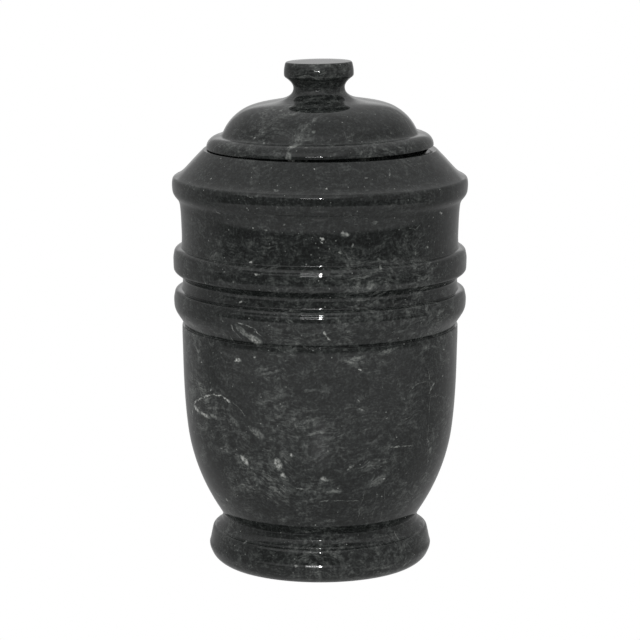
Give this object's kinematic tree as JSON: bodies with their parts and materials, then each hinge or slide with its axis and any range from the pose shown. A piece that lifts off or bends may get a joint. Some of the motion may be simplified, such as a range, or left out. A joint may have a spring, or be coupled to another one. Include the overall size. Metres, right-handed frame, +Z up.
{
  "type": "cremation urn",
  "caption": "Turned and polished black marble cremation urn: round foot, swelling belly, ribbed collar, sloping shoulder, hollow inside, with a domed lift-off lid and flat knob.",
  "frame": {"origin": "middle of the flat underside, on the surface that the urn stands on", "axes": "+Z up along the turning axis from the underside to the knob; the lid stands slightly proud on the +X side"},
  "size_m": [0.178, 0.178, 0.3051],
  "materials": {
    "black_marble": "polished"
  },
  "bodies": {
    "root": {"urn_body": "black_marble", "urn_lid": "black_marble"}
  },
  "joints": []
}
